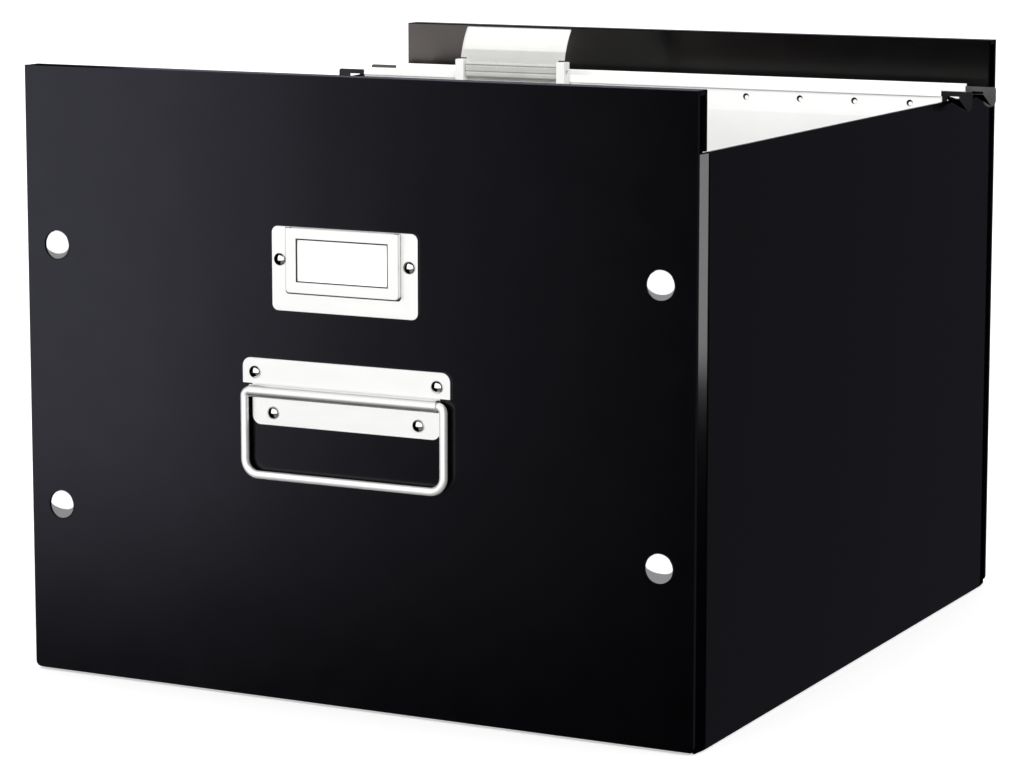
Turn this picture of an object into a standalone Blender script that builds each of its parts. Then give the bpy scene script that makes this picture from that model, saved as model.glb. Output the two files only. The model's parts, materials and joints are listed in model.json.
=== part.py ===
"""An open-topped box of laminated board for hanging files, with a drop handle, a label
holder, press studs at its corners and one tabbed hanging file.

Metres, +Z up. The box stands on Z = 0 with its front towards -Y. A depth is measured
from a wall's outer face into the box."""

import math

import bmesh
import bpy
from mathutils import Matrix, Vector

# The box
BOX_WIDTH = 0.332  # front and back boards, side to side
BOX_DEPTH = 0.370  # front face to back face
WALL_TOP = 0.2791  # top of the double front and back walls
SIDE_TOP = 0.2532  # top of the side boards, where the hooks of a file rest
BOARD = 0.0024  # laminated board
FIT = 0.0003  # gap between pieces that touch
SIDE_PROUD = 0.0008  # side boards stand this far outside the front board's edge
WALL_LIFT = 0.0011  # front and back boards end this far above the floor
WALL_CORNER = 0.0025  # bottom corners of the front and back boards
WALL_CAVITY = 0.0054  # room between a wall's outer board and its lining
LINING = 0.0018  # lining board
CORNER_STRIP = 0.0078  # narrow strip of a flap that closes a corner of the box
FLAP = 0.0012  # flap behind the outer board
FLAP_WIDTH = 0.034
FLAP_DROP = 0.004  # flap's top below the side's top
FLAP_DEPTH = 0.0057  # flap's place between outer board and lining

# Press studs, one at each end of a wall, high and low
STUD_INSET = 0.016  # centre from the front board's edge
STUD_LOW = 0.0785
STUD_HIGH = 0.1981
STUD_CAP = 0.0067  # radius
STUD_PROUD = 0.0015
STUD_POST = 0.0018  # radius
STUD_SOCKET = 0.0054  # radius
STUD_FLANGE = 0.0046  # radius
STUD_METAL = 0.0004  # thickness of the pressed metal

# Rivets of the handle and of the label holder
RIVET_HEAD = 0.00285  # radius
RIVET_SHANK = 0.0015  # radius
RIVET_TAIL = 0.0026  # radius
RIVET_PROUD = 0.0012  # height of the domed head
SHEET = 0.0008  # plates of the handle and of the label holder

# Drop handle
WIRE = 0.0018  # radius
WIRE_REACH = 0.0498  # centre of a leg from the middle
WIRE_DROP = 0.0375  # pivot to the grip
WIRE_PIVOT = 0.1397  # height above the floor
WIRE_OUT = 0.0033  # pivot in front of the front face
WIRE_GRIP_BEND = 0.0067
WIRE_TOP_BEND = 0.0026
BARREL = 0.00275  # radius of the rolled sheet
BARREL_REACH = 0.0469
HANDLE_TOP = 0.0144  # upper flange's edge above the pivot
HANDLE_STEP = 0.0026  # where the upper flange narrows, above the pivot
HANDLE_BOTTOM = 0.0151  # lower flange's edge below the pivot
HANDLE_REACH = 0.0518  # upper flange's half width
FLANGE_REACH = 0.0465  # lower flange's half width
HANDLE_CORNER = 0.004
HANDLE_SEAM = 0.0002  # half the seam where the rolled sheet returns to the board
HANDLE_RIVETS = ((0.0455, 0.0081), (0.0363, -0.0095))  # beside the middle, above the pivot

# Label holder
LABEL_BOTTOM = 0.1759
LABEL_TOP = 0.2132
LABEL_REACH = 0.0363
LABEL_CORNER = 0.003
LABEL_RIVET = (0.0322, 0.1986)
FRAME_REACH = 0.028
FRAME_BOTTOM = 0.1844
FRAME_PROUD = 0.0024
FRAME_CORNER = 0.0015
WINDOW_REACH = 0.0228
WINDOW_BOTTOM = 0.1893
WINDOW_TOP = 0.2083
POCKET_REACH = 0.0256
POCKET_BOTTOM = 0.1866
CARD = 0.0004

# Hanging file
FILE_REST = 0.031  # rear leaf's top, in front of the back face
FILE_SPREAD = 0.0351  # between the tops of the two leaves
FILE_GAP = 0.003  # between a leaf and a side board
LEAF = 0.0008
CREASE_HEIGHT = 0.015
LEAF_BEND = 0.0092  # the leaf hangs straight to this far below the side's top
RAIL_RISE = 0.0016  # rail's lower edge above the side's top
RAIL_HEIGHT = 0.0039
RAIL_WALL = 0.0006
RAIL_CAP = 0.0009  # closed top of the rail
HOOK_OVERHANG = 0.0102  # hook's end outside the side board
HOOK_TONGUE = 0.012  # part of the hook held inside the rail
HOOK_LEG = 0.0024  # leg inside the side board
HOOK_FINGER = 0.0066  # finger outside it
HOOK_DROP = 0.0056  # finger below the side's top
HOOK_SLOT = (0.0060, 0.0013)
HOLE_PITCH = 0.029
HOLE_RADIUS = 0.0015
HOLE_COUNT = 11
HOLE_BELOW_RAIL = 0.0036

# Tab on the front leaf
TAB_HOLES = (-3, -2)  # the leaf's holes that it is pegged into, from the middle one
TAB_SET = 0.001  # its middle to the right of the middle of those holes
TAB_REACH = 0.0315
TAB_EAR = 0.0046
TAB_PLATE = 0.0012
TAB_PLATE_HEIGHT = 0.0145
TAB_EAR_RISE = 0.0053  # ear's top above the pivot
TAB_EAR_DEPTH = 0.0062
TAB_PIVOT_RISE = 0.0052  # pivot above the rail's lower edge
TAB_PIN = 0.0010  # radius
TAB_BAR_HEIGHT = 0.0079
TAB_BAR = 0.0026
TAB_WINDOW = 0.0005
TAB_LABEL = 0.0003
TAB_BEND = 0.036  # radius of the window's curl
TAB_LEAN = (math.radians(8), math.radians(40))
TAB_LABEL_START = math.radians(19.7)
TAB_WIDE_REACH = 0.030  # half the width of the window above the ears
TAB_WIDE_RISE = 0.0015  # where it widens, above the ears
TAB_LUG = 0.0012  # radius

FINE = 20  # sides of the round pieces that show
COARSE = 12  # sides of the hidden ones

# Worked out from the sizes above
SIDE_OUTER = BOX_WIDTH / 2 + SIDE_PROUD
SIDE_INNER = SIDE_OUTER - BOARD
CAVITY_DEPTH = BOARD + FIT
LINING_DEPTH = CAVITY_DEPTH + WALL_CAVITY + FIT
STRIP_END = CAVITY_DEPTH + CORNER_STRIP
HANDLE_PROUD = WIRE_OUT + BARREL
FRONT = -(BOX_DEPTH + HANDLE_PROUD + STUD_PROUD) / 2 + HANDLE_PROUD
BACK = FRONT + BOX_DEPTH
SHEET_FRONT = FIT + SHEET
RAIL_BOTTOM = SIDE_TOP + RAIL_RISE
RAIL_SLOT = LEAF + 2 * FIT
RAIL_WIDTH = RAIL_SLOT + 2 * RAIL_WALL
SLOT_TOP = RAIL_BOTTOM + RAIL_HEIGHT - RAIL_CAP
LEAF_TOP = SLOT_TOP - FIT
HOLE_HEIGHT = RAIL_BOTTOM - HOLE_BELOW_RAIL
HOOK_REACH = SIDE_OUTER + HOOK_OVERHANG
FILE_REACH = SIDE_INNER - FILE_GAP
FILE_FRONT = BOX_DEPTH - FILE_REST - FILE_SPREAD  # front leaf's top, behind the front face
TAB_CENTRE = sum(TAB_HOLES) / 2 * HOLE_PITCH + TAB_SET
TAB_PLATE_TOP = RAIL_BOTTOM - FIT
TAB_BOTTOM = TAB_PLATE_TOP - TAB_PLATE_HEIGHT
TAB_PIVOT = RAIL_BOTTOM + TAB_PIVOT_RISE
TAB_EAR_TOP = TAB_PIVOT + TAB_EAR_RISE

COLOURS = {  # base colour, roughness, metallic
    "laminate": ((0.006, 0.006, 0.009), 0.22, 0.0),
    "lining": ((0.012, 0.011, 0.012), 0.30, 0.0),
    "nickel": ((0.82, 0.82, 0.80), 0.22, 1.0),
    "chrome": ((0.75, 0.76, 0.78), 0.10, 1.0),
    "zinc": ((0.60, 0.60, 0.58), 0.40, 1.0),
    "card": ((0.90, 0.90, 0.88), 0.60, 0.0),
    "file": ((0.86, 0.86, 0.84), 0.35, 0.0),
    "hook": ((0.02, 0.02, 0.022), 0.35, 0.0),
    "tab": ((0.80, 0.80, 0.78), 0.30, 0.0),
    "clear": ((0.75, 0.77, 0.78), 0.12, 0.0),
}


def clear_scene():
    for obj in list(bpy.data.objects):
        bpy.data.objects.remove(obj, do_unlink=True)


def new_collection(name):
    collection = bpy.data.collections.new(name)
    bpy.context.scene.collection.children.link(collection)
    return collection


def new_material(name):
    colour, roughness, metallic = COLOURS[name]
    material = bpy.data.materials.new(name)
    material.use_nodes = True
    shader = material.node_tree.nodes["Principled BSDF"]
    shader.inputs["Base Color"].default_value = (*colour, 1)
    shader.inputs["Roughness"].default_value = roughness
    shader.inputs["Metallic"].default_value = metallic
    return material


clear_scene()
PARTS = new_collection("hanging_file_box")
CUTTERS = new_collection("cutters")
MATERIALS = {name: new_material(name) for name in COLOURS}


def add(name, data, finish):
    """A part when it has a finish, else a cutter, which isn't rendered."""
    obj = bpy.data.objects.new(name, data)
    if finish is None:
        obj.hide_render = True
        obj.display_type = "WIRE"
        CUTTERS.objects.link(obj)
    else:
        if not data.materials:
            data.materials.append(MATERIALS[finish])
        PARTS.objects.link(obj)
    return obj


def block(name, low, high, finish=None):
    """A box between two corners, given in either order."""
    shape = bmesh.new()
    bmesh.ops.create_cube(shape, size=1)
    low, high = Vector(low), Vector(high)
    bmesh.ops.scale(shape, vec=[abs(end - start) for start, end in zip(low, high)], verts=shape.verts)
    bmesh.ops.translate(shape, vec=(low + high) / 2, verts=shape.verts)
    mesh = bpy.data.meshes.new(name)
    shape.to_mesh(mesh)
    shape.free()
    return add(name, mesh, finish)


def rods(name, centres, radius, length, axis, sides=COARSE, finish=None):
    """A closed cylinder about each centre, all in one object."""
    shape = bmesh.new()
    turn = Vector((0, 0, 1)).rotation_difference(Vector(axis)).to_matrix().to_4x4()
    for centre in centres:
        bmesh.ops.create_cone(
            shape,
            cap_ends=True,
            segments=sides,
            radius1=radius,
            radius2=radius,
            depth=length,
            matrix=Matrix.Translation(centre) @ turn,
        )
    mesh = bpy.data.meshes.new(name)
    shape.to_mesh(mesh)
    shape.free()
    return add(name, mesh, finish)


def rounded(corners, segments=5):
    """An outline through corners (x, y, radius), with an arc at each corner that has a radius."""
    outline = []
    for index, (x, y, radius) in enumerate(corners):
        corner = Vector((x, y))
        if radius == 0:
            outline.append(corner)
            continue
        back = (Vector(corners[index - 1][:2]) - corner).normalized()
        ahead = (Vector(corners[(index + 1) % len(corners)][:2]) - corner).normalized()
        half = back.angle(ahead) / 2
        centre = corner + (back + ahead).normalized() * (radius / math.sin(half))
        start = corner + back * (radius / math.tan(half)) - centre
        end = corner + ahead * (radius / math.tan(half)) - centre
        sweep = math.atan2(start.cross(end), start.dot(end))
        for step in range(segments + 1):
            outline.append(centre + Matrix.Rotation(sweep * step / segments, 2) @ start)
    return outline


def mesh_of(curve):
    """The object's curve as a mesh, with its caps welded on."""
    graph = bpy.context.evaluated_depsgraph_get()
    mesh = bpy.data.meshes.new_from_object(curve.evaluated_get(graph))
    shape = bmesh.new()
    shape.from_mesh(mesh)
    bmesh.ops.remove_doubles(shape, verts=shape.verts, dist=1e-6)
    shape.to_mesh(mesh)
    shape.free()
    return mesh


def extruded(name, outline, thickness, place, turn, finish=None):
    """A flat outline given a thickness, half to each side of its plane."""
    data = bpy.data.curves.new(name, "CURVE")
    data.dimensions = "2D"
    data.fill_mode = "BOTH"
    data.extrude = thickness / 2
    line = data.splines.new("POLY")
    line.points.add(len(outline) - 1)
    for point, (x, y) in zip(line.points, outline):
        point.co = (x, y, 0, 1)
    line.use_cyclic_u = True
    curve = bpy.data.objects.new(name, data)
    PARTS.objects.link(curve)
    mesh = mesh_of(curve)
    bpy.data.objects.remove(curve, do_unlink=True)
    bpy.data.curves.remove(data)
    obj = add(name, mesh, finish)
    obj.location = place
    obj.rotation_euler = turn
    return obj


UPRIGHT = (math.pi / 2, 0, 0)  # outline's x, y become X, Z, and its thickness lies along Y
SECTION = (math.pi / 2, 0, math.pi / 2)  # outline's x, y become Y, Z, and it runs along X


def boolean(target, tool, operation):
    modifier = target.modifiers.new(tool.name, "BOOLEAN")
    modifier.object = tool
    modifier.operation = operation
    modifier.solver = "EXACT"


def cut(target, tool):
    boolean(target, tool, "DIFFERENCE")


def unite(target, tool):
    boolean(target, tool, "UNION")


def turned_mesh(name, profile, closed=False):
    """The mesh of a turned profile: points (radius, height), down its outer side."""
    points = [(radius, 0, height) for radius, height in profile]
    count = len(points)
    edges = [(index, index + 1) for index in range(count - 1)]
    if closed:
        edges.append((count - 1, 0))
    mesh = bpy.data.meshes.new(name)
    mesh.from_pydata(points, edges, [])
    return mesh


def turned(name, mesh, place, outward, finish, sides):
    """The turned piece with its axis along Y, its top facing outward (-1 front, +1 back)."""
    obj = add(name, mesh, finish)
    obj.location = place
    obj.rotation_euler = (-outward * math.pi / 2, 0, 0)
    screw = obj.modifiers.new("turn", "SCREW")
    screw.steps = sides
    screw.render_steps = sides
    screw.use_merge_vertices = True
    screw.merge_threshold = 1e-5
    return obj


def dome(radius, low, high, steps=3):
    """Points from the middle of a domed head down to its rim."""
    rise = high - low
    ball = (radius**2 + rise**2) / (2 * rise)
    sweep = math.asin(radius / ball)
    angles = [sweep * step / steps for step in range(steps + 1)]
    return [(ball * math.sin(angle), high - ball * (1 - math.cos(angle))) for angle in angles]


def depth_in(side, depth):
    """Y at a depth into the box from its front (side -1) or back (side +1) face."""
    return FRONT + depth if side < 0 else BACK - depth


SIDES = (("left", -1), ("right", 1))
WALLS = (("front", -1), ("back", 1))
STUD_REACH = BOX_WIDTH / 2 - STUD_INSET
STUD_HEIGHTS = (("lower", STUD_LOW), ("upper", STUD_HIGH))
STUD_PLACES = [(across * STUD_REACH, height) for _, across in SIDES for _, height in STUD_HEIGHTS]


# Boards ---------------------------------------------------------------------


def base_board():
    reach = SIDE_INNER - FIT
    low = (-reach, depth_in(-1, CAVITY_DEPTH), 0)
    high = (reach, depth_in(1, CAVITY_DEPTH), BOARD)
    block("base_board", low, high, "laminate")


def side_board(hand, across):
    start = STRIP_END + FIT
    low = (across * SIDE_INNER, depth_in(-1, start), 0)
    high = (across * SIDE_OUTER, depth_in(1, start), SIDE_TOP)
    block(f"{hand}_side_board", low, high, "laminate")


def outer_board(wall, side, holes):
    """holes lists (x, z, radius) for the shanks that pass through the board."""
    reach = BOX_WIDTH / 2
    corners = [
        (-reach, WALL_LIFT, WALL_CORNER),
        (reach, WALL_LIFT, WALL_CORNER),
        (reach, WALL_TOP, 0),
        (-reach, WALL_TOP, 0),
    ]
    middle = depth_in(side, BOARD / 2)
    board = extruded(
        f"{wall}_outer_board", rounded(corners), BOARD, (0, middle, 0), UPRIGHT, "laminate"
    )
    for radius in sorted({radius for _, _, radius in holes}):
        centres = [(x, middle, z) for x, z, size in holes if size == radius]
        name = f"{wall}_board_holes_{round(radius * 1e5)}"
        cut(board, rods(name, centres, radius, 2 * BOARD, (0, 1, 0)))


def top_spine(wall, side):
    reach = BOX_WIDTH / 2
    low = (-reach, depth_in(side, CAVITY_DEPTH), WALL_TOP - BOARD)
    high = (reach, depth_in(side, CAVITY_DEPTH + WALL_CAVITY), WALL_TOP)
    block(f"{wall}_top_spine", low, high, "laminate")


def lining_board(wall, side):
    """Full width above the sides, and narrower where it drops between them."""
    wide = BOX_WIDTH / 2
    narrow = SIDE_INNER - FIT
    step = SIDE_TOP + FIT
    foot = BOARD + 2 * FIT
    right = [(narrow, foot), (narrow, step), (wide, step), (wide, WALL_TOP)]
    outline = right + [(-x, z) for x, z in reversed(right)]
    middle = depth_in(side, LINING_DEPTH + LINING / 2)
    extruded(f"{wall}_lining_board", outline, LINING, (0, middle, 0), UPRIGHT, "lining")


def corner_flap(wall, side, hand, across):
    """A strip that closes the corner, with the flap that the press studs hold."""
    name = f"{hand}_{wall}_flap"
    strip = block(
        name,
        (across * SIDE_INNER, depth_in(side, CAVITY_DEPTH), 0),
        (across * SIDE_OUTER, depth_in(side, STRIP_END), SIDE_TOP),
        "laminate",
    )
    leaf = block(
        name + "_leaf",
        (across * (SIDE_INNER - FLAP_WIDTH), depth_in(side, FLAP_DEPTH), BOARD + FIT),
        (across * (SIDE_INNER + BOARD / 2), depth_in(side, FLAP_DEPTH + FLAP), SIDE_TOP - FLAP_DROP),
    )
    unite(strip, leaf)
    middle = depth_in(side, FLAP_DEPTH + FLAP / 2)
    centres = [(across * STUD_REACH, middle, height) for _, height in STUD_HEIGHTS]
    cut(strip, rods(name + "_holes", centres, STUD_POST + FIT, 4 * FLAP, (0, 1, 0)))


# Press studs ----------------------------------------------------------------


def press_studs():
    """Each is a domed cap whose post holds a socket behind the outer board, and a stud
    through the flap. Heights in a profile are outward from the wall's outer face."""
    socket_back = -CAVITY_DEPTH
    clinch = socket_back - STUD_METAL - FIT
    stud_tip = clinch - STUD_METAL - FIT
    flange = -FLAP_DEPTH + 2 * FIT
    skirt = flange + FIT
    washer = -FLAP_DEPTH - FLAP - FIT
    end = washer - 1.5 * STUD_METAL
    ball = STUD_FLANGE - 4 * STUD_METAL
    cup = STUD_SOCKET - 3 * STUD_METAL
    cap_mesh = turned_mesh(
        "press_cap",
        dome(STUD_CAP, 2 * FIT, STUD_PROUD, 4)
        + [
            (STUD_CAP, FIT),
            (STUD_POST, FIT),
            (STUD_POST, clinch),
            (STUD_POST + 2 * FIT, clinch),
            (STUD_POST + 2 * FIT, clinch - STUD_METAL),
            (0, clinch - STUD_METAL),
        ],
    )
    socket_mesh = turned_mesh(
        "press_socket",
        [
            (STUD_SOCKET, socket_back),
            (STUD_SOCKET, skirt),
            (cup, skirt),
            (cup, socket_back - STUD_METAL),
            (STUD_POST + FIT, socket_back - STUD_METAL),
            (STUD_POST + FIT, socket_back),
        ],
        closed=True,
    )
    stud_mesh = turned_mesh(
        "press_stud",
        [
            (0, stud_tip),
            (ball - STUD_METAL, stud_tip),
            (ball, (stud_tip + flange) / 2),
            (ball - STUD_METAL, flange),
            (STUD_FLANGE, flange),
            (STUD_FLANGE, -FLAP_DEPTH + FIT),
            (STUD_POST, -FLAP_DEPTH + FIT),
            (STUD_POST, washer),
            (STUD_FLANGE, washer),
            (STUD_FLANGE, end),
            (0, end),
        ],
    )
    for wall, side in WALLS:
        for hand, across in SIDES:
            for level, height in STUD_HEIGHTS:
                place = (across * STUD_REACH, depth_in(side, 0), height)
                where = f"{wall}_{hand}_{level}"
                turned(f"press_cap_{where}", cap_mesh, place, side, "chrome", FINE)
                turned(f"press_socket_{where}", socket_mesh, place, side, "zinc", COARSE)
                turned(f"press_stud_{where}", stud_mesh, place, side, "zinc", COARSE)


# Handle and label holder ----------------------------------------------------


def rivet_places():
    """(name, x, z) of each rivet in the front board."""
    places = []
    for hand, across in SIDES:
        for level, (x, rise) in zip(("upper", "lower"), HANDLE_RIVETS):
            places.append((f"handle_rivet_{hand}_{level}", across * x, WIRE_PIVOT + rise))
        places.append((f"label_rivet_{hand}", across * LABEL_RIVET[0], LABEL_RIVET[1]))
    return places


def rivets():
    seat = SHEET_FRONT + FIT
    tail = -CAVITY_DEPTH
    mesh = turned_mesh(
        "rivet",
        dome(RIVET_HEAD, seat + FIT, seat + RIVET_PROUD)
        + [
            (RIVET_HEAD, seat),
            (RIVET_SHANK, seat),
            (RIVET_SHANK, tail),
            (RIVET_TAIL, tail),
            (RIVET_TAIL, tail - STUD_METAL),
            (0, tail - STUD_METAL),
        ],
    )
    for name, x, z in rivet_places():
        turned(name, mesh, (x, FRONT, z), -1, "chrome", COARSE)


def handle_plate():
    """One sheet, rolled round the wire into a barrel between two riveted flanges."""
    right = [
        (FLANGE_REACH, -HANDLE_BOTTOM, HANDLE_CORNER),
        (FLANGE_REACH, HANDLE_STEP + FIT, 0),
        (HANDLE_REACH, HANDLE_STEP, 0),
        (HANDLE_REACH, HANDLE_TOP, HANDLE_CORNER),
    ]
    left = [(-x, z, radius) for x, z, radius in reversed(right)]
    middle = FRONT - FIT - SHEET / 2
    place = (0, middle, WIRE_PIVOT)
    plate = extruded("handle_plate", rounded(right + left), SHEET, place, UPRIGHT, "nickel")
    axle = (0, FRONT - WIRE_OUT, WIRE_PIVOT)
    unite(plate, rods("handle_barrel", [axle], BARREL, 2 * BARREL_REACH, (1, 0, 0), FINE))
    cut(plate, rods("handle_bore", [axle], WIRE + FIT, 3 * BARREL_REACH, (1, 0, 0), FINE))
    seam = block(
        "handle_seam",
        (-BARREL_REACH - HANDLE_CORNER, FRONT - WIRE_OUT, WIRE_PIVOT - HANDLE_SEAM),
        (BARREL_REACH + HANDLE_CORNER, FRONT, WIRE_PIVOT + HANDLE_SEAM),
    )
    cut(plate, seam)
    centres = [(x, middle, z) for name, x, z in rivet_places() if name.startswith("handle")]
    cut(plate, rods("handle_holes", centres, RIVET_SHANK + FIT, 4 * SHEET, (0, 1, 0)))


def handle_wire():
    """A round wire bent into a loop, its two ends meeting inside the barrel."""
    corners = [
        (FIT, 0, 0),
        (WIRE_REACH, 0, WIRE_TOP_BEND),
        (WIRE_REACH, -WIRE_DROP, WIRE_GRIP_BEND),
        (-WIRE_REACH, -WIRE_DROP, WIRE_GRIP_BEND),
        (-WIRE_REACH, 0, WIRE_TOP_BEND),
        (-FIT, 0, 0),
    ]
    data = bpy.data.curves.new("handle_wire", "CURVE")
    data.dimensions = "3D"
    data.bevel_depth = WIRE
    data.bevel_resolution = 3
    data.use_fill_caps = True
    path = rounded(corners)
    line = data.splines.new("POLY")
    line.points.add(len(path) - 1)
    for point, (x, z) in zip(line.points, path):
        point.co = (x, 0, z, 1)
    wire = add("handle_wire", data, "nickel")
    wire.location = (0, FRONT - WIRE_OUT, WIRE_PIVOT)


def label_plate():
    """A riveted plate with a raised frame, whose pocket is open at the top for a card."""
    corners = [
        (-LABEL_REACH, LABEL_BOTTOM, LABEL_CORNER),
        (LABEL_REACH, LABEL_BOTTOM, LABEL_CORNER),
        (LABEL_REACH, LABEL_TOP, LABEL_CORNER),
        (-LABEL_REACH, LABEL_TOP, LABEL_CORNER),
    ]
    middle = FRONT - FIT - SHEET / 2
    plate = extruded("label_plate", rounded(corners), SHEET, (0, middle, 0), UPRIGHT, "nickel")
    raised = [
        (-FRAME_REACH, FRAME_BOTTOM, FRAME_CORNER),
        (FRAME_REACH, FRAME_BOTTOM, FRAME_CORNER),
        (FRAME_REACH, LABEL_TOP - FIT, 0),
        (-FRAME_REACH, LABEL_TOP - FIT, 0),
    ]
    sunk = SHEET / 2
    frame_middle = FRONT - SHEET_FRONT - (FRAME_PROUD - sunk) / 2
    place = (0, frame_middle, 0)
    unite(plate, extruded("label_frame", rounded(raised), FRAME_PROUD + sunk, place, UPRIGHT))
    pocket = block(
        "label_pocket",
        (-POCKET_REACH, FRONT - SHEET_FRONT - FRAME_PROUD + SHEET, POCKET_BOTTOM),
        (POCKET_REACH, FRONT - SHEET_FRONT, LABEL_TOP + BOARD),
    )
    cut(plate, pocket)
    window = block(
        "label_window",
        (-WINDOW_REACH, FRONT - SHEET_FRONT - 2 * FRAME_PROUD, WINDOW_BOTTOM),
        (WINDOW_REACH, FRONT - SHEET_FRONT - FRAME_PROUD / 2, WINDOW_TOP),
    )
    cut(plate, window)
    centres = [(x, middle, z) for name, x, z in rivet_places() if name.startswith("label")]
    cut(plate, rods("label_holes", centres, RIVET_SHANK + FIT, 4 * SHEET, (0, 1, 0)))


def label_card():
    front = FRONT - SHEET_FRONT - FRAME_PROUD + SHEET + FIT
    low = (-POCKET_REACH + FIT, front, POCKET_BOTTOM + FIT)
    high = (POCKET_REACH - FIT, front + CARD, LABEL_TOP - FIT)
    block("label_card", low, high, "card")


# Hanging file ---------------------------------------------------------------


def leaf(name, depth, lean):
    """A leaf that hangs straight from its rail and then leans to the crease below."""
    top = FRONT + depth
    crease = FRONT + FILE_FRONT + FILE_SPREAD / 2 - lean * (LEAF / 2 + FIT)
    half = LEAF / 2
    line = [(top, LEAF_TOP), (top, SIDE_TOP - LEAF_BEND), (crease, CREASE_HEIGHT)]
    outline = [(y - half, z) for y, z in line] + [(y + half, z) for y, z in reversed(line)]
    sheet = extruded(name, outline, 2 * FILE_REACH, (0, 0, 0), SECTION, "file")
    middle = HOLE_COUNT // 2
    centres = [((index - middle) * HOLE_PITCH, top, HOLE_HEIGHT) for index in range(HOLE_COUNT)]
    cut(sheet, rods(name + "_holes", centres, HOLE_RADIUS, 4 * LEAF, (0, 1, 0), 12))
    for hand, across in SIDES:
        low = (across * (FILE_REACH - HOOK_TONGUE - FIT), top - LEAF, RAIL_BOTTOM)
        high = (across * (FILE_REACH + LEAF), top + LEAF, LEAF_TOP + LEAF)
        cut(sheet, block(f"{name}_notch_{hand}", low, high))


def rail(name, depth):
    middle = FRONT + depth
    half = RAIL_WIDTH / 2
    top = RAIL_BOTTOM + RAIL_HEIGHT
    bar = block(
        name, (-FILE_REACH, middle - half, RAIL_BOTTOM), (FILE_REACH, middle + half, top), "file"
    )
    slot = block(
        name + "_slot",
        (-FILE_REACH - BOARD, middle - RAIL_SLOT / 2, RAIL_BOTTOM - BOARD),
        (FILE_REACH + BOARD, middle + RAIL_SLOT / 2, SLOT_TOP),
    )
    cut(bar, slot)


def hook(name, depth, across):
    """A plate gripped by the rail, notched to sit on the side board's top edge."""
    inner = FILE_REACH + FIT
    seat = SIDE_TOP + FIT
    finger = HOOK_REACH - HOOK_FINGER
    tip = SIDE_TOP - HOOK_DROP
    round_tip = HOOK_FINGER / 2 - FIT / 10
    tongue = FILE_REACH - HOOK_TONGUE
    corners = [
        (inner, tip, HOOK_LEG / 3),
        (inner + HOOK_LEG, tip, HOOK_LEG / 3),
        (inner + HOOK_LEG, seat, 0),
        (finger, seat, 0),
        (finger, tip, round_tip),
        (HOOK_REACH, tip, round_tip),
        (HOOK_REACH, LEAF_TOP, HOOK_LEG / 2),
        (tongue, LEAF_TOP, 0),
        (tongue, RAIL_BOTTOM + FIT, 0),
        (inner, RAIL_BOTTOM + FIT, 0),
    ]
    outline = rounded([(across * x, z, radius) for x, z, radius in corners], 4)
    plate = extruded(name, outline, LEAF, (0, FRONT + depth, 0), UPRIGHT, "hook")
    wide, tall = HOOK_SLOT
    start = inner + HOOK_LEG + FIT
    base = seat + FIT
    slot = block(
        name + "_slot",
        (across * start, FRONT + depth - LEAF, base),
        (across * (start + wide), FRONT + depth + LEAF, base + tall),
    )
    cut(plate, slot)


def tab_base():
    """A plate pegged to the front leaf, with an ear at each end for the window's pins."""
    back = FRONT + FILE_FRONT - LEAF / 2 - FIT
    ear_back = FRONT + FILE_FRONT - RAIL_WIDTH / 2 - FIT
    low = (TAB_CENTRE - TAB_REACH, back - TAB_PLATE, TAB_BOTTOM)
    high = (TAB_CENTRE + TAB_REACH, back, TAB_PLATE_TOP)
    plate = block("tab_base", low, high, "tab")
    for hand, across in SIDES:
        start = TAB_CENTRE + across * (TAB_REACH - TAB_EAR)
        end = TAB_CENTRE + across * TAB_REACH
        foot = TAB_PLATE_TOP - 2 * TAB_EAR
        ear = block(
            f"tab_ear_{hand}",
            (start, ear_back - TAB_EAR_DEPTH, foot),
            (end, ear_back, TAB_EAR_TOP),
        )
        unite(plate, ear)
        middle = ((start + end) / 2, tab_pivot_y(), TAB_PIVOT)
        bore = rods(f"tab_bore_{hand}", [middle], TAB_PIN + FIT, 2 * TAB_EAR, (1, 0, 0), 12)
        cut(plate, bore)
    lug_reach = LEAF + 4 * FIT
    for index in TAB_HOLES:
        root = (index * HOLE_PITCH, back - FIT + lug_reach / 2, HOLE_HEIGHT)
        unite(plate, rods(f"tab_lug{index}", [root], TAB_LUG, lug_reach, (0, 1, 0), 12))


def tab_pivot_y():
    ear_back = FRONT + FILE_FRONT - RAIL_WIDTH / 2 - FIT
    return ear_back - TAB_EAR_DEPTH / 2


def curl(offset, start, end, steps=6):
    """Points (y, z) along the window's curl, offset behind its middle line."""
    radius = TAB_BEND - offset
    foot_y = tab_pivot_y() + TAB_BEND * math.cos(TAB_LEAN[0])
    foot_z = TAB_PIVOT + TAB_BAR_HEIGHT / 2 - TAB_WINDOW - TAB_BEND * math.sin(TAB_LEAN[0])
    angles = [start + (end - start) * step / steps for step in range(steps + 1)]
    return [(foot_y - radius * math.cos(a), foot_z + radius * math.sin(a)) for a in angles]


def curled_sheet(name, offset, thickness, start, end, reach, finish=None):
    ahead = curl(offset - thickness / 2, start, end)
    behind = curl(offset + thickness / 2, start, end)
    return extruded(
        name, ahead + behind[::-1], 2 * reach, (TAB_CENTRE, 0, 0), SECTION, finish
    )


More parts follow.
